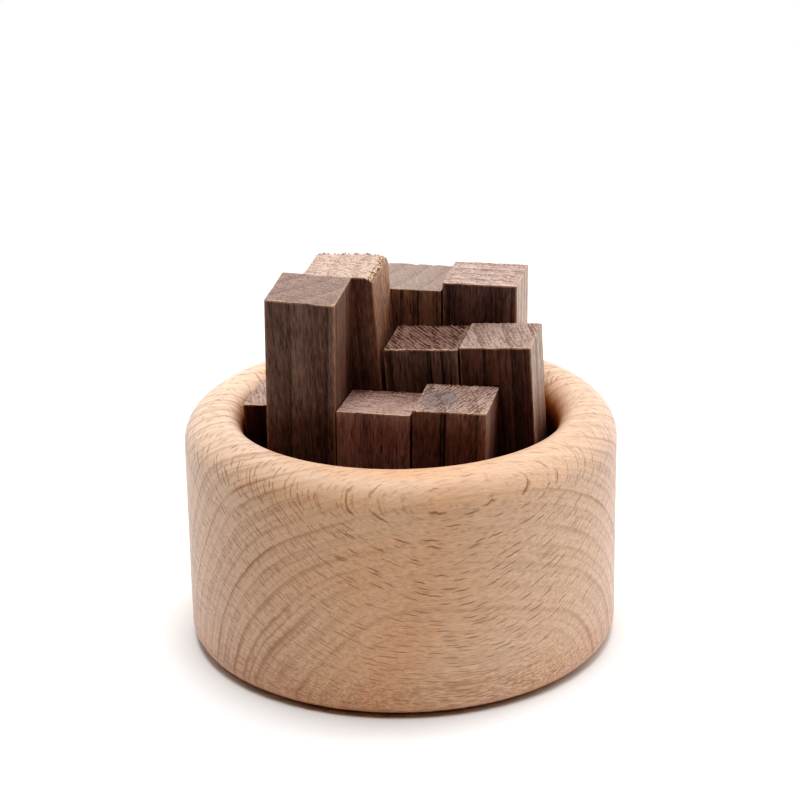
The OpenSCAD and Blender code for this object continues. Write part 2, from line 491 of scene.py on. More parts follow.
stickShape = {
    "across": 36,  # faces across a side
    "along": 0.6,  # length of one face along a stick
    "arris": 0.08,  # radius worn on the long edges
    "sawnArris": 0.14,  # radius on the edges of the sawn ends
    "hollow": 0.02,  # how far the planed sides dip inwards
    "grain": 0.014,  # depth of the raised grain on them
    "wornRange": (0.05, 0.2),
    "fray": 0.07,  # depth of the roughness on the sawn ends
    "chip": 0.07,  # depth of the chips at their edges
    "chipWidth": 0.4,
    "sawPitch": 0.75,  # distance between the ridges that the saw left
    "fibreThickness": 0.11,
}

# pith: where the tree's centre lies from the stick's own corner; ringGap: spacing of the growth rings,
# which shift moves by a part of it; tones: dark and light wood of the planed sides
# grooves: strength of the long dark grooves, and the part of the width that they cover
# paleSide: how much pale colour the right side shows, partly sapwood and partly painted glare of the light
# from the right,
# paleRightColour: its colour, flecks: how much brown breaks it up, paleFade: how far under the top it
# starts to thin out and has gone
# end: tones of the sawn top; saw: direction of the saw marks in degrees, and their depth
# matted: half range of the tones on the top, smaller for more contrast, and how much its rings show
# stain: place, size and colour of a stain on the top; loose: how many slivers and crumbs lie on it
# grainLean: degrees that the grain leans to the side
# swell: how much wider than in CAD the top is drawn, on the left and on the right
stickLooks = {
    "stick_front_left": {
        "pith": (-16, 24), "ringGap": 3.2, "shift": 0.1, "tones": ("#462f24", "#937568"),
        "grooves": (0.3, 0, 10), "paleSide": 0.2, "paleFade": (0, 45), "paleRightColour": "#c08a6c",
        "end": ("#765e53", "#ac9287"), "saw": (70, 0.03), "loose": (4, 0),
        "matted": (0.27, 0.5), "grainLean": 4.0,
    },
    "stick_front_middle": {
        "pith": (5, -30), "ringGap": 10.5, "shift": 0.1, "tones": ("#65413b", "#c6a095"),
        "grooves": (0.35, 0, 10), "paleSide": 0.0,
        "end": ("#705248", "#bb9b8f"), "saw": (83, 0.05), "loose": (9, 10),
        "matted": (0.15, 1.0),
    },
    "stick_front_right": {
        "pith": (-24, -6), "ringGap": 4.4, "shift": 0.22, "tones": ("#4c322a", "#9c7668"),
        "grooves": (0.8, 3.6, 4.6), "paleSide": 0.06, "paleFade": (4, 14),
        "end": ("#6b5048", "#bea092"), "saw": (-20, 0.05), "swell": (0.12, 0), "loose": (14, 40),
        "matted": (0.12, 0.3),
        "stain": (2.7, 4.4, 3.6, "#77757b"),
    },
    "stick_middle_far_left": {
        "pith": (20, 30), "ringGap": 3.0, "shift": 0.2, "tones": ("#3b1d12", "#6a3f2e"),
        "grooves": (0.3, 0, 10), "paleSide": 0.0,
        "end": ("#7d6256", "#c4a698"), "saw": (20, 0.04), "loose": (4, 4),
        "matted": (0.2, 0.4),
    },
    "stick_middle_left": {
        "pith": (28, 4), "ringGap": 3.4, "shift": 0.5, "tones": ("#492b20", "#96725f"),
        "grooves": (0.25, 0, 10), "paleSide": 0.95, "flecks": 0.6,
        "paleFade": (3, 20), "paleRightColour": "#d39f80",
        "end": ("#a78472", "#dec4b5"), "saw": (75, 0.03), "loose": (6, 40),
        "matted": (0.13, 0.3),
    },
    "stick_middle_right": {
        "pith": (-30, 4), "ringGap": 5.2, "shift": 0.85, "tones": ("#483228", "#9a7b6c"),
        "grooves": (1.0, 5.8, 9.6), "paleSide": 0.0, "swell": (0, 0.22),
        "end": ("#3d251d", "#8e6e63"), "saw": (35, 0.10), "loose": (12, 16),
        "matted": (0.17, 0.3),
    },
    "stick_middle_far_right": {
        "pith": (43.4, 15.7), "ringGap": 3.65, "shift": 0.96, "tones": ("#3e251d", "#866150"),
        "grooves": (0.5, 0, 10), "paleSide": 0.72, "paleFade": (5, 17),
        "end": ("#7d6255", "#b99e92"), "saw": (20, 0.04), "loose": (7, 8),
        "matted": (0.15, 0.55),
    },
    "stick_back_left": {
        "pith": (30, -10), "ringGap": 3.1, "shift": 0.6, "tones": ("#3a2018", "#714b3c"),
        "grooves": (0.4, 0, 10), "paleSide": 0.0,
        "end": ("#75584c", "#b89a8b"), "saw": (30, 0.05), "loose": (5, 4),
        "matted": (0.2, 0.5),
    },
    "stick_back_middle": {
        "pith": (-22, 14), "ringGap": 3.3, "shift": 0.15, "tones": ("#634535", "#ba957f"),
        "grooves": (0.5, 0, 10), "paleSide": 0.0,
        "end": ("#877267", "#b59e94"), "saw": (25, 0.02), "loose": (3, 0),
        "matted": (0.34, 0.6),
    },
    "stick_back_right": {
        "pith": (4, -42), "ringGap": 2.3, "shift": 0.3, "tones": ("#513633", "#9b7d71"),
        "grooves": (0.55, 0, 10), "paleSide": 1.0, "paleFade": (14, 30), "swell": (0.22, 0),
        "end": ("#87695e", "#d3b8ab"), "saw": (84, 0.05), "loose": (6, 6),
        "matted": (0.15, 0.45),
    },
}
# the stick whose right top edge broke out under the saw, and a little of its back edge
tornEdge = {
    "stick": "stick_middle_left",
    "rightWidth": 1.25,
    "backWidth": 0.55,
    "backShare": 0.55,  # how much less deep the back edge broke
    "depth": 0.42,
    "crumble": 0.36,  # how far crumbs stand up or are missing
    "biteHeight": 1.1,  # how far down the right side the wood came away
}

walnutLook = {
    "paleRightTone": "#e3c6b2",  # pale right side, partly sapwood and partly painted glare, where a stick doesn't say otherwise
    "openPore": "#160b08",
    "cutPore": "#3a271f",
    "wornAndLitSide": "#c89c80",  # the paler worn long edges, and a painted highlight along the front and right edges of the sawn top, where the rounded edge catches the light
    "wornAndLitEnd": "#dfbb9c",
    "torn": ("#54301d", "#ecc7a8"),  # raw orange brown wood where the edge broke out
    "poreCell": (0.36, 0.36, 2.1),  # spacing of the pores, and half of their size, along the stick last
    "poreSize": (0.058, 0.058, 0.8),
}


def stickPlace(node):
    # a stick's own axes, size and sawn top, read from its CAD node and its joint
    body = frame["nodes"][node]
    joint = next(j for j in frame["joints"] if j["child"] == node)
    up = np.array(joint["axis"], float)
    up /= np.linalg.norm(up)
    right = np.cross((0.0, 1.0, 0.0), up)
    right /= np.linalg.norm(right)
    back = np.cross(up, right)
    axes = np.stack([right, back, up], 1)
    corners = np.array([body.matrix_world @ v.co for v in body.data.vertices]) @ axes
    low, high = corners.min(0), corners.max(0)
    topCorners = corners[corners[:, 2] > low[2] + 0.5 * (high[2] - low[2])]
    # the top plane: height over the foot at the stick's corner, and its slopes
    offsets = topCorners - low
    columns = np.column_stack([offsets[:, :2], np.ones(len(offsets))])
    slopeX, slopeY, height = np.linalg.lstsq(columns, offsets[:, 2], rcond=None)[0]
    place = Matrix(axes.tolist()).to_4x4()
    place.translation = Vector(axes @ low)
    size = (high - low) / mm
    return place, size[0], size[1], height / mm, slopeX, slopeY


def edgeSteps(size, arris, count):
    # places of the grid lines across a side: close together on the worn edges, even between
    near = arris * np.array([0, 0.15, 0.35, 0.6, 1.0, 1.6])
    middle = np.linspace(near[-1], size - near[-1], count + 1)[1:-1]
    return np.concatenate([near, middle, size - near[::-1]])


def surfaceGrid(xs, ys, zs):
    # the outside of a box as one closed grid
    count = (len(xs), len(ys), len(zs))
    index = {}
    points = []

    def corner(i, j, k):
        key = (i, j, k)
        if key not in index:
            index[key] = len(points)
            points.append((xs[i], ys[j], zs[k]))
        return index[key]

    faces = []
    ends = []
    for k in (0, count[2] - 1):
        for i in range(count[0] - 1):
            for j in range(count[1] - 1):
                face = (corner(i, j, k), corner(i + 1, j, k), corner(i + 1, j + 1, k), corner(i, j + 1, k))
                faces.append(face if k else face[::-1])
                ends.append(1)
    for k in range(count[2] - 1):
        for j in (0, count[1] - 1):
            for i in range(count[0] - 1):
                face = (corner(i, j, k), corner(i + 1, j, k), corner(i + 1, j, k + 1), corner(i, j, k + 1))
                faces.append(face if j == 0 else face[::-1])
                ends.append(0)
        for i in (0, count[0] - 1):
            for j in range(count[1] - 1):
                face = (corner(i, j, k), corner(i, j + 1, k), corner(i, j + 1, k + 1), corner(i, j, k + 1))
                faces.append(face if i else face[::-1])
                ends.append(0)
    return np.array(points), faces, ends


def looseWood(loose, width, depth, top, seed, thickness):
    # hair-thin slivers that the saw left standing along the edges of a top, and crumbs lying on it
    chance = np.random.default_rng(seed)
    slivers, crumbs = loose
    points, faces = [], []
    for _ in range(slivers):
        side = int(chance.choice([0, 0, 0, 1, 2, 3]))
        along = chance.uniform(0.06, 0.94)
        root, out = [
            ((along * width, depth - 0.1), (0, 1)),
            ((width - 0.1, along * depth), (1, 0)),
            ((along * width, 0.1), (0, -1)),
            ((0.1, along * depth), (-1, 0)),
        ][side]
        length = chance.uniform(0.35, 0.9)
        lean = chance.uniform(-0.8, 0.8)
        lift = chance.uniform(0.1, 0.45)
        start = len(points)
        for step in range(4):
            t = step / 3
            thick = thickness * (1 - 0.8 * t) / 2
            x = root[0] + out[0] * 0.08 * t + out[1] * lean * length * t
            y = root[1] + out[1] * 0.08 * t + out[0] * lean * length * t
            z = top(root[0], root[1]) - 0.08 + lift * length * t * (1.5 - t)
            for corner in range(3):
                angle = 2 * math.pi * corner / 3
                ring = (math.cos(angle), math.sin(angle), math.sin(angle + 1))
                points.append((x + thick * ring[0], y + thick * ring[1], z + thick * ring[2]))
        for step in range(3):
            for corner in range(3):
                a = start + step * 3 + corner
                b = start + step * 3 + (corner + 1) % 3
                faces.append((a, b, b + 3, a + 3))
        faces.append((start + 2, start + 1, start))
        faces.append((start + 9, start + 10, start + 11))
    for _ in range(crumbs):
        # most crumbs catch near the edges
        x, y = chance.uniform(0.3, width - 0.3), chance.uniform(0.3, depth - 0.3)
        if chance.random() < 0.6:
            y = depth - chance.uniform(0.15, 0.7)
        size = chance.uniform(0.07, 0.17)
        z = top(x, y) - 0.05
        start = len(points)
        for lift, spread in ((-0.5, 0.8), (0.35, 0.9)):
            for corner in range(5):
                angle = 2 * math.pi * (corner + chance.uniform(-0.2, 0.2)) / 5
                reach = size * spread * chance.uniform(0.7, 1.3)
                points.append((x + reach * math.cos(angle), y + reach * math.sin(angle), z + lift * size))
        points.append((x, y, z + size * 0.9))
        points.append((x, y, z - size * 0.7))
        for corner in range(5):
            a, b = start + corner, start + (corner + 1) % 5
            faces.append((a, b, b + 5, a + 5))
            faces.append((a + 5, b + 5, start + 10))
            faces.append((b, a, start + 11))
    return points, faces


def buildStick(node, look, seed, planed, sawn):
    place, width, depth, height, slopeX, slopeY = stickPlace(node)
    s = stickShape
    xs = edgeSteps(width, s["arris"], s["across"])
    ys = edgeSteps(depth, s["arris"], s["across"])
    nearTop = np.array([0, 0.05, 0.12, 0.25, 0.45, 0.7, 1.0, 1.4])
    zs = np.arange(0, height - nearTop[-1], s["along"])
    zs = np.concatenate([zs[:-1], height - nearTop[::-1]])
    flat, faces, ends = surfaceGrid(xs, ys, zs)
    x, y, z = flat.T.copy()
    size = np.array([width, depth])
    isTop = z >= height - 1e-6
    isFoot = z <= 1e-6

    # round the long edges, a little unevenly along the stick
    worn = s["arris"] * (0.85 + 0.35 * smoothNoise(np.stack([x * 0.1, y * 0.1, z / 4], 1), seed))
    worn = np.clip(worn, *s["wornRange"])
    plan = np.stack([x, y], 1)
    held = np.clip(plan, worn[:, None], size - worn[:, None])
    reach = plan - held
    distance = np.linalg.norm(reach, axis=1)
    corner = (np.abs(reach) > 1e-9).all(1)
    scale = np.where(corner & (distance > worn), worn / np.maximum(distance, 1e-9), 1)
    plan = held + reach * scale[:, None]

    # drawn wider than in CAD towards the top, to close the gap to a neighbour that leans away
    swellLeft, swellRight = look.get("swell", (0, 0))
    across = plan[:, 0] / width
    plan[:, 0] += (swellRight * across - swellLeft * (1 - across)) * z / height

    # planed sides dip inwards by a few hundredths of a millimetre
    toMiddle = size / 2 - plan
    slack = s["hollow"] * (0.5 + 0.5 * smoothNoise(np.stack([x / 5, y / 5, z / 11], 1), seed + 40))
    grain = s["grain"] * (0.5 + 0.5 * smoothNoise(np.stack([x / 0.45, y / 0.45, z / 7], 1), seed + 50))
    inward = (slack + grain) * ~(isTop | isFoot)
    edgeX = np.minimum(x, width - x) < 1e-6
    edgeY = np.minimum(y, depth - y) < 1e-6
    plan[:, 0] += np.sign(toMiddle[:, 0]) * inward * edgeX
    plan[:, 1] += np.sign(toMiddle[:, 1]) * inward * edgeY

    # the sawn top: sloped, with saw marks and torn grain, and softened at its edges
    rise = slopeX * plan[:, 0] + slopeY * plan[:, 1]
    angle = math.radians(look["saw"][0])
    stroke = plan[:, 0] * math.cos(angle) + plan[:, 1] * math.sin(angle)
    wobble = smoothNoise(np.stack([x / 3, y / 3, z * 0], 1), seed + 60)
    ridges = np.sin(2 * math.pi * (stroke + 0.4 * wobble) / s["sawPitch"])
    marks = look["saw"][1] * (0.5 + 0.5 * ridges)
    rag = smoothNoise(np.stack([x / 0.35, y / 0.35, z * 0], 1), seed + 70)
    rag += 0.7 * smoothNoise(np.stack([x / 1.1, y / 1.1, z * 0], 1), seed + 80)
    toEdge = np.minimum(np.minimum(x, width - x), np.minimum(y, depth - y))
    soft = np.clip(1 - toEdge / s["sawnArris"], 0, 1)
    drop = marks + s["fray"] * (0.5 + 0.3 * rag) + s["sawnArris"] * (1 - np.sqrt(1 - soft**2)) * 0.8
    drop += s["chip"] * ease(rag, 0.5, 1.2) * (toEdge < s["chipWidth"])
    torn = np.zeros(len(x))
    if node == tornEdge["stick"]:
        # crumbled edge: deepest at the right, with crumbs left standing
        fromRight = width - x + 0.35 * smoothNoise(np.stack([y / 0.9, y * 0, y * 0], 1), seed + 90)
        fromBack = depth - y + 0.3 * smoothNoise(np.stack([x / 0.9, x * 0, x * 0], 1), seed + 91)
        t = tornEdge
        atBack = t["backShare"] * ease(-fromBack, -t["backWidth"], -0.1)
        torn = np.maximum(ease(-fromRight, -t["rightWidth"], -0.25), atBack)
        crumbs = smoothNoise(np.stack([x / 0.32, y / 0.32, z / 0.4], 1), seed + 92)
        drop += torn * (t["depth"] + t["crumble"] * crumbs)
        bite = ease(z, height - t["biteHeight"], height - 0.1) * torn * (0.16 + 0.14 * crumbs)
        plan[:, 0] -= bite * (x > width - 0.4)
    nearEnd = ease(z, height - 1.4, height)
    z = z + rise * z / height - drop * np.where(isTop, 1.0, nearEnd**3 * 0.9)
    foot = s["fray"] * (0.5 + 0.3 * rag) * isFoot
    z = z + foot
    points = np.stack([plan[:, 0], plan[:, 1], z], 1)

    def topAt(px, py):
        return height + slopeX * px + slopeY * py

    more, moreFaces = looseWood(look["loose"], width, depth, topAt, seed, s["fibreThickness"])
    if more:
        faces = faces + [tuple(i + len(points) for i in face) for face in moreFaces]
        points = np.vstack([points, np.array(more)])
        ends = ends + [1] * len(moreFaces)
        torn = np.concatenate([torn, np.full(len(more), 0.6)])
    # nothing stands out of the stick's own box
    turn = np.array(place.to_3x3())
    origin = np.array(place.translation)
    standing = (points * mm) @ turn.T + origin
    low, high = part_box(node)
    standing = np.clip(standing, np.array(low) + 0.00001, np.array(high) - 0.00001)
    points = (standing - origin) @ turn / mm
    stick = meshPiece("walnutS" + node[1:], standing, faces, [planed, sawn], ends)
    # how close a point is to a worn long edge, from its place across the stick
    px, py = points[:, 0], points[:, 1]
    cornerGap = np.hypot(np.minimum(px, width - px), np.minimum(py, depth - py))
    # painted highlight in a band under the top edge, where the rounded edge catches the light: most of it
    # on the front and right edges, in patches
    front, right = 1 - ease(py, 0.08, 0.34), 1 - ease(width - px, 0.08, 0.34)
    others = 1 - ease(np.minimum(px, depth - py), 0.08, 0.3)
    sides = np.maximum(np.maximum(front, 0.55 * right), 0.2 * others)
    patches = 0.65 + 0.5 * smoothNoise(np.stack([px / 2.2, py / 2.2, px * 0], 1), seed + 95)
    rim = np.where(points[:, 2] > topAt(px, py) - 0.3, sides * np.clip(patches, 0.2, 1), 0.0)
    wornAndLit = np.maximum(0.45 * (1 - ease(cornerGap, 0.06, 0.3)), rim)
    # what the materials read at each point: its place in the stick, how torn it is, and how worn and how
    # lit its edges are drawn
    attribute = stick.data.attributes.new("inStick", "FLOAT_VECTOR", "POINT")
    attribute.data.foreach_set("vector", points.ravel())
    for name, values in (("tornEdge", torn), ("edgeWornAndLit", wornAndLit)):
        attribute = stick.data.attributes.new(name, "FLOAT", "POINT")
        attribute.data.foreach_set("value", values)
    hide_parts(node)
    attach(stick, node)
    return stick


def walnutCoordinates(tree, look, seed):
    # place in the stick in mm, its distance from the pith, and how far through a growth ring it is
    inStick = addNode(tree, "Attribute", attribute_name="inStick").outputs["Vector"]
    grain = addNode(
        tree,
        "VectorRotate",
        {"Vector": inStick, "Angle": math.radians(look.get("grainLean", 0.0))},
        rotation_type="Y_AXIS",
    )
    shifted = addNode(
        tree, "VectorMath", {0: grain, 1: (seed * 31.7, seed * 17.3, seed * 53.9)}, operation="ADD"
    )
    bend = stretchedNoise(tree, shifted, (0.09, 0.09, 0.02), 1)
    fromPith = addNode(
        tree, "VectorMath", {0: inStick, 1: (-look["pith"][0], -look["pith"][1], 0)}, operation="ADD"
    )
    flat = addNode(tree, "VectorMath", {0: fromPith, 1: (1, 1, 0.0)}, operation="MULTIPLY")
    outwards = addNode(tree, "VectorMath", {0: flat}, operation="LENGTH").outputs["Value"]
    outwards = addNode(tree, "Math", {0: bend, 1: 1.6, 2: outwards}, operation="MULTIPLY_ADD")
    rings = addNode(
        tree, "Math", {0: outwards, 1: 1 / look["ringGap"], 2: look["shift"]}, operation="MULTIPLY_ADD"
    )
    ringPart = addNode(tree, "Math", {0: rings}, operation="FRACT")
    return inStick, shifted, ringPart


def planedWalnut(node, look, seed):
    # American walnut, sawn and lightly planed, no finish: chocolate brown with darker streaks and
    # open pores drawn as short dark lines along the stick, dull with a faint sheen seen along it
    material, tree = newMaterial("planedWalnutS" + node[1:])
    inStick, shifted, ringPart = walnutCoordinates(tree, look, seed)
    width = stickPlace(node)[1]
    dark, light = look["tones"]
    streaks = stretchedNoise(tree, shifted, (0.75, 0.75, 0.02), 3, 0.6)
    fine = stretchedNoise(tree, shifted, (4.0, 4.0, 0.6), 4, 0.7)
    ringTone = addNode(
        tree,
        "ValToRGB",
        {"Fac": ringPart},
        stops=[(0.0, 0.2), (0.03, 0.62), (0.5, 0.5), (0.85, 0.4), (0.965, 0.12), (1.0, 0.12)],
    )
    tone = addNode(tree, "Math", {0: streaks, 1: 0.8, 2: ringTone}, operation="MULTIPLY_ADD")
    tone = addNode(tree, "Math", {0: fine, 1: 2.0, 2: tone}, operation="MULTIPLY_ADD")
    spread = addNode(tree, "MapRange", {"Value": tone}, span=(1.32, 2.48))
    wood = addNode(tree, "ValToRGB", {"Fac": spread}, stops=[(0.0, dark), (1.0, light)])

    # pores, drawn wider than the real 0.1 to 0.2 mm so that they show
    far = scatteredMarks(tree, shifted, walnutLook["poreCell"], walnutLook["poreSize"])[1]
    poreMask = addNode(tree, "MapRange", {"Value": far}, span=(1.3, 0.5), interpolation_type="SMOOTHSTEP")
    # long dark grooves, where the plane opened a line of pores
    strength, grooveStart, grooveEnd = look["grooves"]
    grooveNoise = stretchedNoise(tree, shifted, (2.5, 2.5, 0.04), 2, 0.7)
    grooveMask = addNode(tree, "MapRange", {"Value": grooveNoise}, span=(0.46, 0.38, 0.0, strength))
    acrossStick = addNode(tree, "SeparateXYZ", {0: inStick}).outputs["X"]
    fromStart = addNode(
        tree, "MapRange", {"Value": acrossStick}, span=(grooveStart - 0.1, grooveStart + 0.1, 0.25)
    )
    toEnd = addNode(
        tree, "MapRange", {"Value": acrossStick}, span=(grooveEnd + 0.1, grooveEnd - 0.1, 0.25)
    )
    within = addNode(tree, "Math", {0: fromStart, 1: toEnd}, operation="MINIMUM")
    grooveMask = addNode(tree, "Math", {0: grooveMask, 1: within}, operation="MULTIPLY")
    lines = addNode(tree, "Math", {0: poreMask, 1: 0.78}, operation="MULTIPLY")
    lines = addNode(tree, "Math", {0: lines, 1: grooveMask}, operation="MAXIMUM")

    # pale on the right side of some sticks: partly sapwood, partly painted glare of the light from the
    # right seen along the face
    if look["paleSide"]:
        paleRightMask = addNode(
            tree,
            "MapRange",
            {"Value": acrossStick},
            span=(width - 0.3, width - 0.1, 0.0, look["paleSide"]),
        )
        thin = addNode(tree, "MapRange", {"Value": fine}, span=(0.36, 0.56, 0.5))
        paleRightMask = addNode(tree, "Math", {0: paleRightMask, 1: thin}, operation="MULTIPLY")
        # brown stripes run down it, and it thins out towards the foot
        stripes = stretchedNoise(tree, shifted, (0, 0.5, 0.012), 2)
        striped = addNode(tree, "MapRange", {"Value": stripes}, span=(0.4, 0.54, 0.52))
        paleRightMask = addNode(tree, "Math", {0: paleRightMask, 1: striped}, operation="MULTIPLY")
        flecks = stretchedNoise(tree, shifted, (0, 1.3, 0.9), 3, 0.7)
        flecked = addNode(
            tree, "MapRange", {"Value": flecks}, span=(0.4, 0.56, 1 - look.get("flecks", 0.25))
        )
        paleRightMask = addNode(tree, "Math", {0: paleRightMask, 1: flecked}, operation="MULTIPLY")
        length = stickPlace(node)[3]
        alongStick = addNode(tree, "SeparateXYZ", {0: inStick}).outputs["Z"]
        thinned = addNode(
            tree,
            "MapRange",
            {"Value": alongStick},
            span=(length - look["paleFade"][1], length - look["paleFade"][0], 0.12),
        )
        paleRightMask = addNode(tree, "Math", {0: paleRightMask, 1: thinned}, operation="MULTIPLY")
        paleRightColour = look.get("paleRightColour", walnutLook["paleRightTone"])
        wood = addNode(tree, "Mix", {0: paleRightMask, 6: wood, 7: paleRightColour}, data_type="RGBA")
        bare = addNode(tree, "Math", {0: 1.0, 1: paleRightMask}, operation="SUBTRACT")
        lines = addNode(tree, "Math", {0: lines, 1: bare}, operation="MULTIPLY")
    wood = addNode(tree, "Mix", {0: lines, 6: wood, 7: walnutLook["openPore"]}, data_type="RGBA")
    # handling has worn the edges paler, and a painted highlight lies along the top edges
    edge = addNode(tree, "Attribute", attribute_name="edgeWornAndLit").outputs["Fac"]
    wornAndLitPatches = addNode(tree, "MapRange", {"Value": fine}, span=(0.35, 0.55, 0.2))
    wornAndLitTint = addNode(tree, "Math", {0: edge, 1: wornAndLitPatches}, operation="MULTIPLY")
    wood = addNode(tree, "Mix", {0: wornAndLitTint, 6: wood, 7: walnutLook["wornAndLitSide"]}, data_type="RGBA")

    height = addNode(tree, "Math", {0: lines, 1: -1.2, 2: fine}, operation="MULTIPLY_ADD")
    rough = addNode(tree, "MapRange", {"Value": fine}, span=(0.0, 1.0, 0.5, 0.75))
    surface = {"Base Color": wood, "Roughness": rough, "Specular IOR Level": 0.3}
    closeMaterial(tree, height, 0.6, 0.08, surface)
    return material


def sawnWalnutEnd(node, look, seed):
    # the same walnut sawn across: the cut fibres scatter the light, so it looks paler and dusty,
    # matted and speckled with open pores, and crossed by the saw's marks
    material, tree = newMaterial("sawnWalnutEndS" + node[1:])
    inStick, shifted, ringPart = walnutCoordinates(tree, look, seed)
    dark, light = look["end"]
    bands = addNode(
        tree,
        "ValToRGB",
        {"Fac": ringPart},
        stops=[(0.0, 0.25), (0.04, 0.62), (0.6, 0.5), (0.95, 0.3), (1.0, 0.22)],
    )
    speckle = addNode(tree, "TexNoise", {"Vector": shifted, "Scale": 2.9, "Detail": 3, "Roughness": 0.75})
    # strokes in the same direction as the ridges in the mesh
    turned = addNode(
        tree,
        "VectorRotate",
        {"Vector": shifted, "Angle": math.radians(-look["saw"][0])},
        rotation_type="Z_AXIS",
    )
    strokes = stretchedNoise(tree, turned, (3.0, 0.3, 0), 3, 0.65)
    strokeWeight = 0.6 + 9 * look["saw"][1]
    blade = addNode(
        tree,
        "TexWave",
        {"Vector": turned, "Scale": 0.58, "Distortion": 2.2, "Detail": 2, "Detail Scale": 1.5},
        bands_direction="X",
    )
    bandWeight = look["matted"][1]
    banded = addNode(tree, "Math", {0: bands, 1: bandWeight}, operation="MULTIPLY")
    tone = addNode(tree, "Math", {0: speckle, 1: 1.1, 2: banded}, operation="MULTIPLY_ADD")
    tone = addNode(tree, "Math", {0: strokes, 1: strokeWeight, 2: tone}, operation="MULTIPLY_ADD")
    bladeWeight = 2.2 * look["saw"][1]
    tone = addNode(
        tree, "Math", {0: blade.outputs["Fac"], 1: bladeWeight, 2: tone}, operation="MULTIPLY_ADD"
    )
    middle = 0.48 * bandWeight + 0.55 + strokeWeight / 2 + bladeWeight / 2
    half = look["matted"][0]
    spread = addNode(tree, "MapRange", {"Value": tone}, span=(middle - half, middle + half))
    wood = addNode(tree, "ValToRGB", {"Fac": spread}, stops=[(0.0, dark), (1.0, light)])
    if "stain" in look:
        # a cool grey patch, as iron leaves on walnut
        stainX, stainY, stainSize, stainColour = look["stain"]
        fromStain = addNode(tree, "VectorMath", {0: inStick, 1: (-stainX, -stainY, 0)}, operation="ADD")
        fromStain = addNode(tree, "VectorMath", {0: fromStain, 1: (1, 0.8, 0)}, operation="MULTIPLY")
        fromStain = addNode(tree, "VectorMath", {0: fromStain}, operation="LENGTH")
        stainMask = addNode(
            tree,
            "MapRange",
            {"Value": fromStain.outputs["Value"]},
            span=(stainSize, stainSize * 0.4, 0.0, 0.75),
            interpolation_type="SMOOTHSTEP",
        )
        stainMask = addNode(tree, "Math", {0: stainMask, 1: spread}, operation="MULTIPLY")
        wood = addNode(tree, "Mix", {0: stainMask, 6: wood, 7: stainColour}, data_type="RGBA")
    # open pores, about 0.2 mm across
    pores = addNode(tree, "TexVoronoi", {"Vector": shifted, "Scale": 1.9})
    poreMask = addNode(
        tree, "MapRange", {"Value": pores.outputs["Distance"]}, span=(0.24, 0.12, 0.0, 0.6)
    )
    wood = addNode(tree, "Mix", {0: poreMask, 6: wood, 7: walnutLook["cutPore"]}, data_type="RGBA")
    # the top's edges are worn paler, with a painted highlight along the front and right
    edge = addNode(tree, "Attribute", attribute_name="edgeWornAndLit").outputs["Fac"]
    wornAndLitPatches = addNode(tree, "MapRange", {"Value": speckle}, span=(0.4, 0.52, 0.25, 0.85))
    wornAndLitTint = addNode(tree, "Math", {0: edge, 1: wornAndLitPatches}, operation="MULTIPLY")
    wood = addNode(tree, "Mix", {0: wornAndLitTint, 6: wood, 7: walnutLook["wornAndLitEnd"]}, data_type="RGBA")
    # raw wood where the edge broke out
    torn = addNode(tree, "Attribute", attribute_name="tornEdge").outputs["Fac"]
    rawDark, rawLight = walnutLook["torn"]
    rawTone = addNode(tree, "ValToRGB", {"Fac": speckle}, stops=[(0.43, rawDark), (0.56, rawLight)])
    wood = addNode(tree, "Mix", {0: torn, 6: wood, 7: rawTone}, data_type="RGBA")

    height = addNode(tree, "Math", {0: poreMask, 1: -0.6, 2: speckle}, operation="MULTIPLY_ADD")
    height = addNode(tree, "Math", {0: strokes, 1: strokeWeight, 2: height}, operation="MULTIPLY_ADD")
    rough = addNode(tree, "MapRange", {"Value": speckle}, span=(0.0, 1.0, 0.7, 0.95))
    surface = {"Base Color": wood, "Roughness": rough, "Specular IOR Level": 0.25}
    closeMaterial(tree, height, 0.8, 0.2, surface)
    return material


studio = {
    "floorColour": "#fafafa",
    "floorRadius": 0.5,
    "floorFade": (0.14, 0.4),  # the paper melts into the white surroundings between these radii
    "distance": 0.3315,
    "azimuth": 12.23,  # camera's turn from the front of the rows towards their right end
    "elevation": 20.6,
    "aim": (0.0, 0.0, 0.0337),
    "roll": -0.98,
    "lens": 107.8,
    # a print's contrast: only the deep shadows are pulled down
    "darkCurve": (
        (0.01, 0.003), (0.03, 0.0145), (0.06, 0.041), (0.1, 0.084), (0.2, 0.19), (0.4, 0.4),
    ),
    # brightness of the surroundings: everywhere, more behind, more to the right, less above, limit
    "surround": (1.36, 5.4, 0.46, -5.0, 1.72),
}

# each light: where it stands round the object (azimuth, elevation, distance), its size and its power
lamps = {
    "overheadSoftbox": {"stand": (12, 88, 0.9), "size": 0.5, "watts": 9.0},
    "rightBackSoftbox": {"stand": (132, 36, 0.9), "size": 0.58, "watts": 2.0},
}


def standAt(azimuth, elevation, distance):
    # azimuth 0 is in front of the rows and grows towards their right end
    a, e = math.radians(azimuth), math.radians(elevation)
    return Vector((math.sin(a) * math.cos(e), -math.cos(a) * math.cos(e), math.sin(e))) * distance


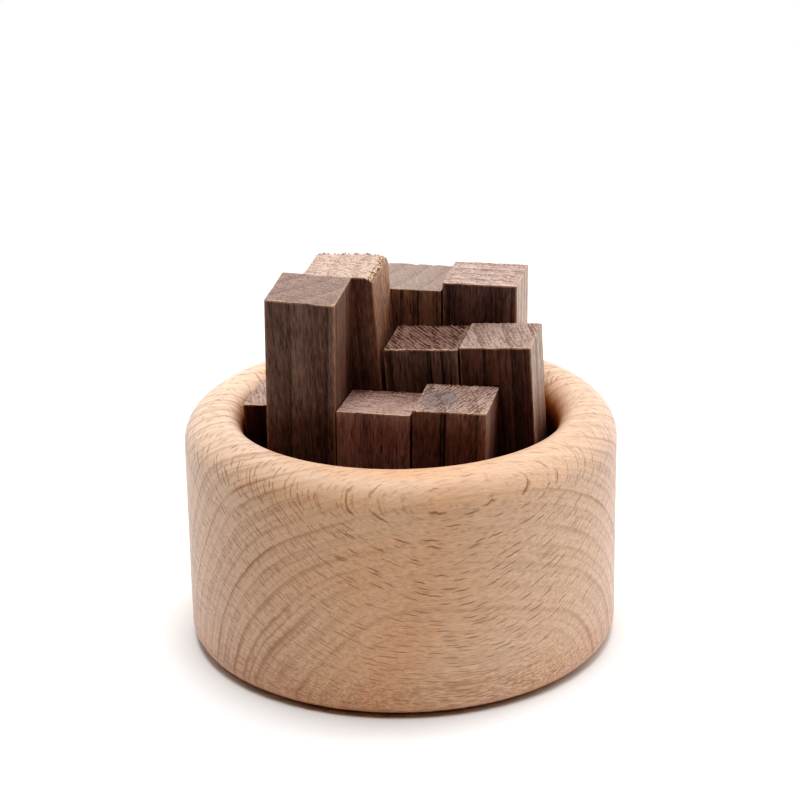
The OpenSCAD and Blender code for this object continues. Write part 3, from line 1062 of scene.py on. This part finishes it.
def buildFloor():
    material, tree = newMaterial("matteWhitePaper")
    # seamless studio paper: white, quite matte, with a hardly visible tooth
    place = addNode(tree, "TexCoord").outputs["Object"]
    tooth = addNode(tree, "TexNoise", {"Vector": place, "Scale": 400, "Detail": 2})
    bump = addNode(tree, "Bump", {"Height": tooth, "Strength": 0.05, "Distance": 0.0001})
    shader = addNode(
        tree, "BsdfPrincipled", {"Base Color": studio["floorColour"], "Roughness": 0.85, "Normal": bump}
    )
    clear = addNode(tree, "BsdfTransparent")
    fromMiddle = addNode(tree, "VectorMath", {0: place}, operation="LENGTH")
    fade = addNode(
        tree,
        "MapRange",
        {"Value": fromMiddle.outputs["Value"]},
        span=studio["floorFade"],
        interpolation_type="SMOOTHSTEP",
    )
    paper = addNode(tree, "MixShader", {0: fade, 1: shader, 2: clear})
    addNode(tree, "OutputMaterial", {"Surface": paper})
    around = 96
    radius = studio["floorRadius"]
    turn = np.arange(around) * 2 * math.pi / around
    rim = np.stack([radius * np.cos(turn), radius * np.sin(turn), np.full(around, -0.00002)], 1)
    floor = meshPiece("paperFloor", rim, [tuple(range(around))], [material])


def buildLight():
    world = bpy.data.worlds.new("whiteStudio")
    bpy.context.scene.world = world
    world.use_nodes = True
    tree = world.node_tree
    tree.nodes.clear()
    # a bright wall behind the object, darker towards the camera's side, but plain white to look at
    direction = addNode(tree, "TexCoord").outputs["Generated"]
    everywhere, behind, right, above, limit = studio["surround"]
    lean = -standAt(studio["azimuth"], 0, 1) * behind + standAt(studio["azimuth"] + 90, 0, 1) * right
    lean.z = above
    facing = addNode(tree, "VectorMath", {0: direction, 1: tuple(lean)}, operation="DOT_PRODUCT")
    strength = addNode(tree, "Math", {0: facing.outputs["Value"], 1: everywhere}, operation="ADD")
    strength = addNode(tree, "Math", {0: strength, 1: 0.0}, operation="MAXIMUM")
    strength = addNode(tree, "Math", {0: strength, 1: limit}, operation="MINIMUM")
    toEye = addNode(tree, "LightPath").outputs["Is Camera Ray"]
    seen = addNode(tree, "Mix", {0: toEye, 2: strength, 3: 1.0}, data_type="FLOAT")
    sky = addNode(tree, "Background", {"Color": "#ffffff", "Strength": seen})
    addNode(tree, "OutputWorld", {"Surface": sky})
    for name, lamp in lamps.items():
        light = bpy.data.lights.new(name, "AREA")
        light.size = lamp["size"]
        light.energy = lamp["watts"]
        holder = bpy.data.objects.new(name, light)
        holder.location = standAt(*lamp["stand"]) + Vector(studio["aim"])
        away = holder.location - Vector(studio["aim"])
        holder.rotation_euler = away.to_track_quat("Z", "Y").to_euler()
        bpy.context.scene.collection.objects.link(holder)


def buildCamera():
    lens = bpy.data.cameras.new("studioCamera")
    lens.lens = studio["lens"]
    lens.clip_start = 0.01
    camera = bpy.data.objects.new("studioCamera", lens)
    away = standAt(studio["azimuth"], studio["elevation"], studio["distance"])
    turned = away.to_track_quat("Z", "Y").to_matrix().to_4x4()
    camera.matrix_world = (
        Matrix.Translation(Vector(studio["aim"]) + away)
        @ turned
        @ Matrix.Rotation(math.radians(studio["roll"]), 4, "Z")
    )
    bpy.context.scene.collection.objects.link(camera)
    bpy.context.scene.camera = camera


buildCamera()
buildLight()
buildFloor()
view = bpy.context.scene.view_settings
view.view_transform = "Standard"
view.use_curve_mapping = True
for place, value in studio["darkCurve"]:
    view.curve_mapping.curves[3].points.new(place, value)
view.curve_mapping.update()
print("studio ready")

buildCup(turnedBeech(beechLook))
for number, (node, look) in enumerate(stickLooks.items(), start=1):
    planed = planedWalnut(node, look, number)
    sawn = sawnWalnutEnd(node, look, number)
    buildStick(node, look, number, planed, sawn)
print("sticks cut:", len(stickLooks))
